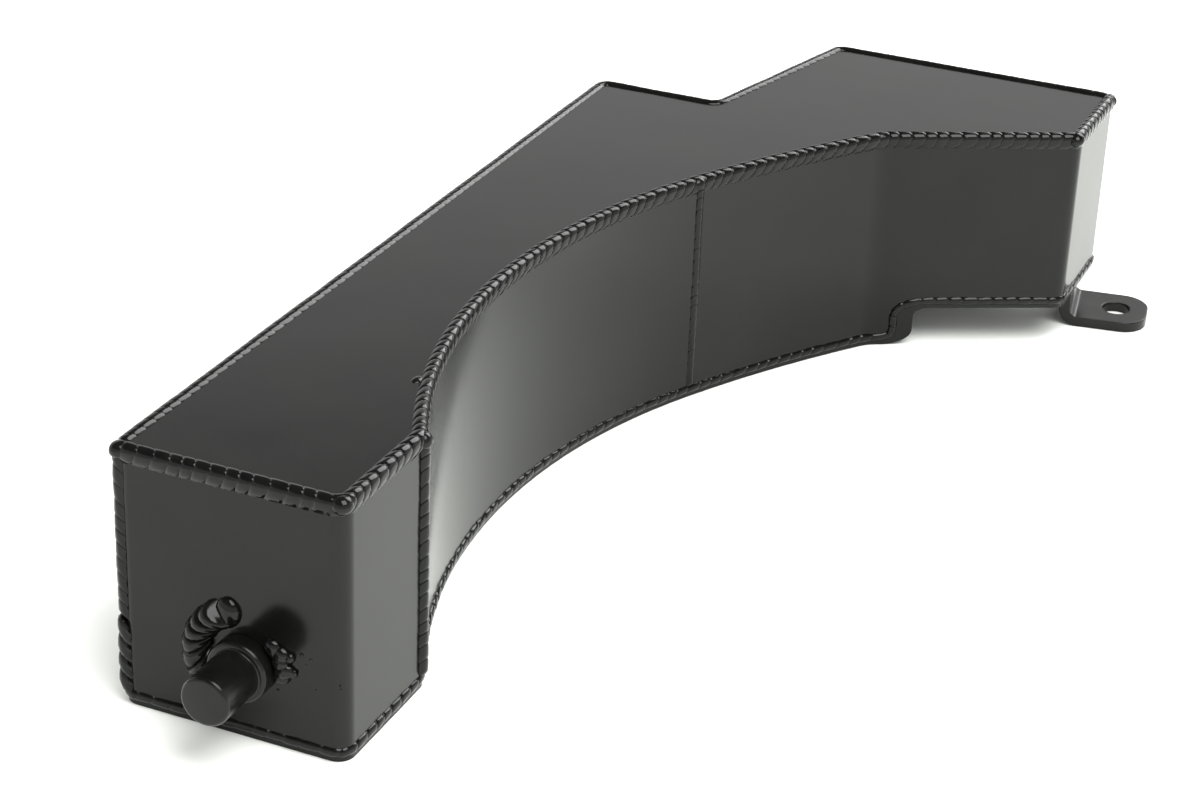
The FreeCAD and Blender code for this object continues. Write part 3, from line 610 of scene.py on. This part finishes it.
@dataclass(frozen=True)
class Bead:
    """A rippled weld bead, modelled as one ripple that is repeated along its seam. Millimetres."""

    radius: float
    pitch: float
    valley: float
    lean: float
    crest_deg: float = 0.0
    sides: int = 12
    lump: float = 11.0
    lump_height: float = 0.24
    wander: float = 0.5
    drop: float = 1.0
    profile: tuple[tuple[float, float], ...] = PADS

    def ripple(self, pitch: float) -> bpy.types.Object:
        """Model one ripple along X, with open ends.

        Args:
            pitch: its length in metres.

        Returns:
            The ripple.
        """
        piece = primitive("cylinder", vertices=self.sides, radius=self.radius * MM, depth=pitch,
                          end_fill_type="NOTHING", location=(pitch / 2, 0, 0), rotation=(0, math.pi / 2, 0))
        with editing(piece):
            for share, _ in self.profile[1:]:
                bpy.ops.mesh.select_all(action="SELECT")
                bpy.ops.mesh.bisect(plane_co=(share * pitch, 0, 0), plane_no=(1, 0, 0))
            for share, height in self.profile + ((1.0, self.profile[0][1]),):
                size = 1 - self.valley / self.radius * (1 - height)
                pick(piece, lambda spot, at=share * pitch: abs(spot.x - at) < RING_SHARE * pitch)
                bpy.ops.transform.resize(value=(1, size, size), center_override=(share * pitch, 0, 0))
            crest = math.radians(self.crest_deg)
            for number in range(self.sides):
                angle = math.tau * number / self.sides
                pick(piece, lambda spot, at=angle: abs(math.remainder(
                    math.atan2(spot.z, spot.y) - at, math.tau)) < ROW_ANGLE)
                bpy.ops.transform.translate(value=(self.lean * MM * math.cos(angle - crest), 0, 0))
            pick(piece, lambda spot: spot.z < -LOWER_MM * MM)
            bpy.ops.transform.resize(value=(1, 1, self.drop), center_override=(0, 0, 0))
        return piece

    def stray(self, piece: bpy.types.Object, length: float, waves: Sequence[int]) -> None:
        """Make the ripples of a straight bead uneven in length.

        Args:
            piece: the bead along X.
            length: its length in metres.
            waves: how often the ripples grow and shrink along the bead.
        """
        for vertex in piece.data.vertices:
            turn = math.tau * vertex.co.x / length
            vertex.co.x += self.wander * MM * sum(math.sin(wave * turn + wave) for wave in waves)

    def taper(self, piece: bpy.types.Object) -> None:
        """Round the two ends of a straight bead off.

        Args:
            piece: the bead along X.
        """
        places = [vertex.co.x for vertex in piece.data.vertices]
        low, high, reach = min(places), max(places), self.radius * MM
        for vertex in piece.data.vertices:
            left = 1 - min(1.0, min(vertex.co.x - low, high - vertex.co.x) / reach)
            size = max(END_SIZE, math.sqrt(1 - left * left))
            vertex.co.y *= size
            vertex.co.z *= size

    def along(self, line: SeamLine, name: str) -> bpy.types.Object:
        """Repeat the ripple along a seam.

        Args:
            line: the seam.
            name: the bead's name.

        Returns:
            The bead.
        """
        line = line.divided(RUN_MM * MM)
        length = line.marks()[-1]
        count = max(1, round(length / (self.pitch * MM)))
        pitch = length / count
        piece = self.ripple(pitch)
        piece.name = name
        repeat = piece.modifiers.new("ripples", "ARRAY")
        repeat.count = count
        repeat.use_relative_offset = False
        repeat.use_constant_offset = True
        repeat.constant_offset_displace = (pitch, 0, 0)
        repeat.use_merge_vertices = True
        repeat.merge_threshold = MERGE_MM * MM
        apply_modifiers(piece)
        self.stray(piece, length, [max(1, count // swell) for swell in SWELLS])
        if not line.closed:
            self.taper(piece)
        line.lay(piece)
        clean(piece, BEAD_MERGE_MM)
        if not line.closed:
            with editing(piece):
                bpy.ops.mesh.select_mode(type="EDGE")
                bpy.ops.mesh.select_non_manifold()
                bpy.ops.mesh.fill_holes(sides=0)
            clean(piece, BEAD_MERGE_MM)
        roughen(piece, self.lump, self.lump_height)
        return piece


@dataclass(frozen=True)
class Blob:
    """A rounded lump of weld metal. Sizes and place in millimetres."""

    place: tuple[float, float, float]
    size: tuple[float, float, float]
    lump_height: float = 0.35
    segments: int = 14
    rings: int = 9

    def build(self) -> bpy.types.Object:
        """Model the lump from a ball.

        Returns:
            The lump.
        """
        piece = primitive("uv_sphere", segments=self.segments, ring_count=self.rings, radius=MM)
        with editing(piece):
            bpy.ops.mesh.select_all(action="SELECT")
            bpy.ops.transform.resize(value=self.size, center_override=(0, 0, 0))
            bpy.ops.transform.translate(value=[part * MM for part in self.place])
        roughen(piece, max(self.size), self.lump_height * min(self.size) / 2)
        return piece


@dataclass
class Shell:
    """The welded shell: sheets that keep their CAD shape, and the welds between them. Millimetres."""

    setback: float = 2.4
    bead_inset: float = 1.6
    foot_inset: float = 0.7
    sheet: float = 3.0
    rise: float = 15.0
    riser_x: float = 123.45
    bend_inside: float = 3.0
    bend_steps: int = 5
    shortest_run: float = 0.001
    top_bead: Bead = Bead(radius=2.62, pitch=4.7, valley=0.26, lean=2.0, crest_deg=40, sides=16, drop=1.7)
    back_bead: Bead = Bead(radius=2.6, pitch=4.9, valley=0.07, lean=2.0, crest_deg=40, sides=16, lump=16.0,
                           lump_height=0.26, drop=1.7)
    foot_bead: Bead = Bead(radius=1.75, pitch=5.4, valley=0.25, lean=1.0, crest_deg=60, lump=7.0,
                           lump_height=0.6)
    corner_bead: Bead = Bead(radius=2.35, pitch=4.8, valley=0.2, lean=2.4, lump=9.0, lump_height=0.5)
    corner_lap: Bead = Bead(radius=2.9, pitch=5.6, valley=0.8, lean=2.6, crest_deg=35, lump=9.0,
                            lump_height=0.5, wander=0.15, profile=SCALES)
    front_bead: Bead = Bead(radius=2.3, pitch=4.5, valley=0.25, lean=2.2, lump_height=0.4)
    seam_bead: Bead = Bead(radius=1.95, pitch=4.4, valley=0.16, lean=2.0, lump_height=0.4)
    upright_top: float = 79.8
    corner: tuple[float, float] = (-214.6, 82.79)
    corner_out: tuple[float, float, float] = (-1, 1, 0)
    corner_split: float = 27.0
    far_corner: tuple[float, float] = (200.5, -90.9)
    front: tuple[float, float] = (-169.5, 11.34)
    arc_seam: tuple[float, float] = (46.74, 14.76)
    far_seam: tuple[float, float] = (201.15, 3.985)
    blobs: tuple[Blob, ...] = (
        Blob((-214.5, 82.7, 82.0), (3.3, 3.3, 2.7)),
        Blob((-214.3, 12.8, 82.0), (3.4, 3.4, 2.8)),
        Blob((-169.5, 11.5, 81.6), (3.0, 3.2, 2.8)),
        Blob((46.4, 15.6, 82.0), (3.6, 3.4, 2.7)),
        Blob((153.6, -90.6, 82.0), (3.4, 3.2, 2.7)),
        Blob((200.2, -90.6, 82.0), (3.0, 3.0, 2.6)),
        Blob((-139.7, 28.4, 82.5), (3.4, 2.3, 2.1)))

    def climb(self) -> list[tuple[float, float]]:
        """Give the profile of the step in the bottom plate's upper face.

        Returns:
            Pairs of X and height, in metres.
        """
        inner, outer = self.bend_inside, self.bend_inside + self.sheet
        low, high = self.sheet, self.sheet + self.rise
        turns = [math.pi / 2 * step / self.bend_steps for step in range(self.bend_steps + 1)]
        lower = [(self.riser_x - inner + inner * math.sin(turn), low + inner - inner * math.cos(turn))
                 for turn in turns]
        upper = [(self.riser_x + outer - outer * math.cos(turn), high - outer + outer * math.sin(turn))
                 for turn in turns]
        return [(x * MM, z * MM) for x, z in lower + upper]

    def height(self, place: float) -> float:
        """Find the height of the bottom plate's upper face.

        Args:
            place: where along X, in metres.

        Returns:
            The height, in metres.
        """
        climb = self.climb()
        after = bisect.bisect_left([x for x, _ in climb], place)
        if after in (0, len(climb)):
            return climb[min(after, len(climb) - 1)][1]
        (start, low), (end, high) = climb[after - 1], climb[after]
        return low + (high - low) * (place - start) / max(end - start, self.shortest_run * MM)

    def foot_line(self, plan: SeamLine) -> SeamLine:
        """Lay a level line on the stepped bottom plate.

        Args:
            plan: the level line.

        Returns:
            The line that climbs the step on both sides.
        """
        climb = self.climb()
        points, outs = [], []
        for first, last in plan.runs():
            start, end = plan.points[first], plan.points[last]
            points.append(Vector((start.x, start.y, self.height(start.x))))
            outs.append(plan.outs[first])
            for x, z in climb if start.x < end.x else climb[::-1]:
                if min(start.x, end.x) < x < max(start.x, end.x):
                    share = (x - start.x) / (end.x - start.x)
                    points.append(Vector((x, start.y + share * (end.y - start.y), z)))
                    outs.append(plan.outs[first].lerp(plan.outs[last], share))
        return SeamLine(points, outs, True)

    def build(self, coat: bpy.types.Material) -> None:
        """Make the welds of the shell.

        Args:
            coat: finish of the welds.
        """
        edge = upper_outline("top_plate")
        rim = edge.moved_out((self.setback - self.bead_inset) * MM, self.bead_inset * MM)
        near, far = rim.nearest(self.corner), rim.nearest(self.far_corner)
        front = self.top_bead.along(rim.part(near, far), "front")
        back = self.back_bead.along(rim.part(far, near), "back")
        dress_weld(join([front, back, *(blob.build() for blob in self.blobs)]), "top_seam", coat)
        foot = self.foot_line(edge.moved_out((self.setback - self.foot_inset) * MM))
        dress_weld(self.foot_bead.along(foot, "bottom_seam_bead"), "bottom_seam", coat)
        slim_line = upright_line(self.corner, self.corner_split, self.upright_top, self.corner_out)
        slim = self.corner_bead.along(slim_line, "corner")
        fat_line = upright_line(self.corner, self.sheet, self.corner_split, self.corner_out)
        fat = self.corner_lap.along(fat_line, "lap")
        dress_weld(join([slim, fat]), "near_corner", coat)
        uprights = (
            ("front_corner", self.front_bead, self.front, self.sheet, (-0.2, -1, 0)),
            ("arc_seam", self.seam_bead, self.arc_seam, self.sheet, (-0.43, -0.9, 0)),
            ("far_seam", self.seam_bead, self.far_seam, self.sheet + self.rise, (1, 0, 0)))
        for name, bead, place, low, out in uprights:
            dress_weld(bead.along(upright_line(place, low, self.upright_top, out), name), name, coat)


@dataclass
class PegWelds:
    """The fat weld and the crumbly tack that hold the locating peg, and their spatter. Millimetres.

    A lump of the tack is given by its angle about the peg in degrees, its distance from the peg's axis
    and its size. A drop of spatter is given by its place across the wall, its height and its size.
    """

    centre: tuple[float, float, float] = (-216.35, 42.84, 24.2)
    large: Bead = Bead(radius=4.7, pitch=3.7, valley=1.1, lean=3.4, crest_deg=-35, sides=16, lump=8.0,
                       lump_height=0.4, wander=0.2, profile=SCALES)
    large_shift: tuple[float, float, float] = (-0.6, 0.6, 2.0)
    large_radius: float = 14.6
    large_start: float = 18.0
    large_sweep: float = 94.0
    large_lift: float = 90.0
    large_steps: int = 24
    crater: Blob = Blob((-216.6, 47.9, 39.9), (2.5, 4.1, 4.8), 0.4)
    tack_lumps: tuple[tuple[float, float, float], ...] = (
        (-48, 12.4, 2.6), (-60, 13.2, 2.9), (-71, 12.2, 2.5), (-82, 12.8, 2.7), (-93, 11.8, 2.3),
        (-66, 15.6, 1.8), (-84, 15.4, 1.5))
    tack_shape: tuple[float, float, float] = (0.75, 1.15, 1.0)
    tack_proud: float = 0.4
    tack_roughness: float = 1.1
    spatter: tuple[tuple[float, float, float], ...] = (
        (24.6, 32.5, 0.7), (28.4, 27.1, 0.5), (26.5, 25.0, 0.4), (32.4, 18.7, 0.55), (21.7, 31.7, 0.45),
        (20.2, 22.3, 0.35), (32.8, 33.1, 0.5), (12.3, 24.6, 0.4), (23.2, 29.6, 0.3))
    spatter_shape: tuple[float, float, float] = (0.7, 1.0, 0.9)
    spatter_roughness: float = 0.5

    def build(self, coat: bpy.types.Material) -> None:
        """Make the welds of the peg.

        Args:
            coat: their finish.
        """
        wall, across, height = self.centre
        seat = [part + shift for part, shift in zip(self.centre, self.large_shift)]
        arc = ring_line(seat, (-1, 0, 0), self.large_radius, self.large_start, self.large_sweep,
                        self.large_lift, self.large_steps)
        dress_weld(join([self.large.along(arc, "fat"), self.crater.build()]), "peg", coat)
        lumps = []
        for turn_deg, reach, size in self.tack_lumps:
            turn = math.radians(turn_deg)
            place = (wall - self.tack_proud,
                     across + reach * math.sin(turn), height + reach * math.cos(turn))
            shape = tuple(size * part for part in self.tack_shape)
            lumps.append(Blob(place, shape, self.tack_roughness).build())
        for side, level, size in self.spatter:
            shape = tuple(size * part for part in self.spatter_shape)
            lumps.append(Blob((wall, side, level), shape, self.spatter_roughness).build())
        dress_weld(join(lumps), "peg_tack", coat)


@dataclass
class FittingWelds:
    """Rippled fillet welds round the fittings on the hidden sides. Millimetres."""

    neck: Bead = Bead(radius=2.5, pitch=4.2, valley=0.45, lean=1.4)
    small: Bead = Bead(radius=1.6, pitch=3.2, valley=0.3, lean=1.0, lump=6.0)
    seat: float = 0.8
    neck_centre: tuple[float, float, float] = (202.05, -36.461, 48.0)
    neck_radius: float = 19.0
    outlet_centre: tuple[float, float, float] = (-141.35, 84.539, 30.0)
    outlet_radius: float = 9.0
    vent_centre: tuple[float, float, float] = (119.95, 62.539, 48.0)
    vent_radius: float = 4.0
    tab_hole: tuple[float, float] = (188.05, -105.961)
    tab_turn_deg: float = -80.0
    tab_back: float = 21.8
    tab_half: float = 13.0
    tab_height: float = 14.2

    def build(self, coat: bpy.types.Material) -> None:
        """Make the rings round the tubes and the run behind the tab.

        Args:
            coat: their finish.
        """
        rings = (
            ("neck", self.neck, self.neck_centre, (1, 0, 0), self.neck_radius),
            ("outlet", self.small, self.outlet_centre, (0, 1, 0), self.outlet_radius),
            ("vent", self.small, self.vent_centre, (1, 0, 0), self.vent_radius))
        for name, bead, centre, axis, radius in rings:
            seat = Vector(centre) + Vector(axis) * self.seat
            dress_weld(bead.along(ring_line(seat, axis, radius + self.seat), name), name, coat)
        turn = math.radians(self.tab_turn_deg)
        away = Vector((math.cos(turn), math.sin(turn), 0))
        across = Vector((-away.y, away.x, 0)) * self.tab_half
        middle = Vector((*self.tab_hole, self.tab_height)) - away * self.tab_back
        run = straight_line(middle - across, middle + across, -away - Vector((0, 0, 1)))
        dress_weld(self.small.along(run, "tab_bead"), "tab", coat)


@dataclass(frozen=True)
class RoundedPart:
    """A CAD piece whose sharp edges are broken as the real one's are. Edge width in millimetres."""

    node: str
    edge: float
    slot: Slot = Slot.COAT
    body: Body = Body.TANK
    segments: int = 3

    def build(self, finish: bpy.types.Material) -> None:
        """Round a copy of the node, which then stands for it.

        Args:
            finish: its material.
        """
        piece = copy_of(self.node)
        with editing(piece):
            bpy.ops.mesh.select_all(action="SELECT")
            bpy.ops.mesh.remove_doubles(threshold=CAD_MERGE_MM * MM)
            bpy.ops.mesh.dissolve_limited(angle_limit=math.radians(FLAT_DEG))
        activate(piece)
        bpy.ops.object.shade_smooth_by_angle(angle=math.radians(SMOOTH_DEG))
        bevel = piece.modifiers.new("edges", "BEVEL")
        bevel.width = self.edge * MM
        bevel.segments = self.segments
        bevel.limit_method = "ANGLE"
        bevel.angle_limit = math.radians(SMOOTH_DEG)
        bevel.harden_normals = True
        apply_modifiers(piece)
        dress(piece, f"rounded_{self.node}", finish, self.body, self.node, None)


ROUNDED = (
    RoundedPart("bottom_plate", edge=1.0),
    RoundedPart("mounting_tab", edge=0.6),
    RoundedPart("locating_peg", edge=0.5),
    RoundedPart("filler_neck", edge=0.5),
    RoundedPart("hose_outlet", edge=0.3),
    RoundedPart("vent_nipple", edge=0.25),
    RoundedPart("overflow_nipple", edge=0.25),
    RoundedPart("screw_cap", edge=0.4, slot=Slot.CAP, body=Body.CAP))


def dress_tank() -> None:
    """Give every CAD node its finish, then add the welds and the rounded pieces."""
    sheet, weld, fitting = SHEET_COAT.make(), WELD_COAT.make(), FITTING_COAT.make()
    others = {
        "screw_cap": CAP_NYLON.make(),
        "cap_seal": SEAL_RUBBER.make(),
        "pressure_valve": VALVE_ACETAL.make()}
    for name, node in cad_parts.items():
        if name.endswith("_weld"):
            finish = weld
        elif name.endswith(("_wall", "_plate")):
            finish = sheet
        else:
            finish = others.get(name, fitting)
        node.data.materials.clear()
        node.data.materials.append(finish)
    Shell().build(weld)
    PegWelds().build(weld)
    FittingWelds().build(weld)
    for part in ROUNDED:
        part.build(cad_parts[part.node].data.materials[0])


@dataclass(frozen=True)
class Studio:
    """Floor, light and camera. Lengths in metres, angles in degrees.

    The room's steps give how bright it is in reflections, by the height of the direction.
    """

    eye: tuple[float, float, float] = (-0.79665, -0.30636, 0.4459)
    heading: tuple[float, float] = (0.9217, 0.388)
    pitch_deg: float = 26.48
    roll_deg: float = 2.39
    lens_mm: float = 83.93
    sensor_mm: float = 36.0
    nearest: float = 0.01
    farthest: float = 50.0
    floor_size: float = 12.0
    floor_colour: str = "#f5f7f2"
    white: str = "#ffffff"
    room_light: float = 1.1
    room_steps: tuple[tuple[float, float], ...] = (
        (0.0, 1.0), (0.33, 1.0), (0.42, 0.85), (0.5, 0.33), (0.6, 0.12))
    box_place: tuple[float, float, float] = (-0.4, -0.6, 1.35)
    box_size: float = 1.0
    box_power: float = 24.0
    strip_place: tuple[float, float, float] = (1.25, -0.35, 0.95)
    strip_size: float = 0.9
    strip_power: float = 17.0

    def camera(self) -> None:
        """Set the camera where the photograph was taken from."""
        pitch, roll = math.radians(self.pitch_deg), math.radians(self.roll_deg)
        upward = Vector((0, 0, 1))
        level = Vector((*self.heading, 0)).normalized()
        look = level * math.cos(pitch) - upward * math.sin(pitch)
        right = look.cross(upward).normalized()
        up = right.cross(look)
        side = right * math.cos(roll) + up * math.sin(roll)
        top = up * math.cos(roll) - right * math.sin(roll)
        data = bpy.data.cameras.new("camera")
        data.lens = self.lens_mm
        data.sensor_fit = "HORIZONTAL"
        data.sensor_width = self.sensor_mm
        data.clip_start, data.clip_end = self.nearest, self.farthest
        camera = bpy.data.objects.new("camera", data)
        bpy.context.scene.collection.objects.link(camera)
        turn = Matrix((side, top, -look)).transposed().to_4x4()
        camera.matrix_world = Matrix.Translation(self.eye) @ turn
        bpy.context.scene.camera = camera

    def floor(self) -> None:
        """Lay a pale floor that keeps the object's shadow."""
        plane = primitive("plane", size=self.floor_size)
        plane.name = "floor"
        material, tree = new_tree("studio_floor")
        matt = add_node(tree, "ShaderNodeBsdfDiffuse", {"Color": linear(self.floor_colour)})
        add_node(tree, "ShaderNodeOutputMaterial", {"Surface": matt.outputs[0]})
        plane.data.materials.append(material)

    def sky(self) -> None:
        """Surround the scene: white to the eye, a white sweep below and a dim room above in reflections."""
        world = bpy.data.worlds.new("studio")
        bpy.context.scene.world = world
        world.use_nodes = True
        tree = world.node_tree
        tree.nodes.clear()
        white = linear(self.white)
        path = add_node(tree, "ShaderNodeLightPath")
        way = add_node(tree, "ShaderNodeTexCoord").outputs["Generated"]
        height = add_node(tree, "ShaderNodeSeparateXYZ", {"Vector": way}).outputs["Z"]
        room = ramp(tree, height, self.room_steps)
        soft = add_node(tree, "ShaderNodeBackground", {"Color": white, "Strength": self.room_light})
        mirrored = add_node(tree, "ShaderNodeBackground", {"Color": room, "Strength": 1.0})
        seen = add_node(tree, "ShaderNodeBackground", {"Color": white, "Strength": 1.0})
        glossy = add_node(tree, "ShaderNodeMixShader", {
            0: path.outputs["Is Glossy Ray"], 1: soft.outputs[0], 2: mirrored.outputs[0]})
        whole = add_node(tree, "ShaderNodeMixShader", {
            0: path.outputs["Is Camera Ray"], 1: glossy.outputs[0], 2: seen.outputs[0]})
        add_node(tree, "ShaderNodeOutputWorld", {"Surface": whole.outputs[0]})

    def softbox(self, name: str, place: tuple[float, float, float], size: float, power: float) -> None:
        """Hang a square soft lamp that looks at the object.

        Args:
            name: the lamp's name.
            place: where it hangs.
            size: length of its sides.
            power: its power in watts.
        """
        data = bpy.data.lights.new(name, "AREA")
        data.shape = "SQUARE"
        data.size = size
        data.energy = power
        lamp = bpy.data.objects.new(name, data)
        lamp.location = place
        lamp.rotation_euler = Vector(place).to_track_quat("Z", "Y").to_euler()
        bpy.context.scene.collection.objects.link(lamp)

    def build(self) -> None:
        """Set the whole studio up."""
        bpy.context.scene.view_settings.view_transform = "Standard"
        self.camera()
        self.floor()
        self.sky()
        self.softbox("key", self.box_place, self.box_size, self.box_power)
        self.softbox("edge", self.strip_place, self.strip_size, self.strip_power)


def main() -> None:
    """Dress the tank and set the studio up."""
    logging.basicConfig(level=logging.INFO, format="%(name)s: %(message)s")
    dress_tank()
    Studio().build()


if __name__ == "__main__":
    main()
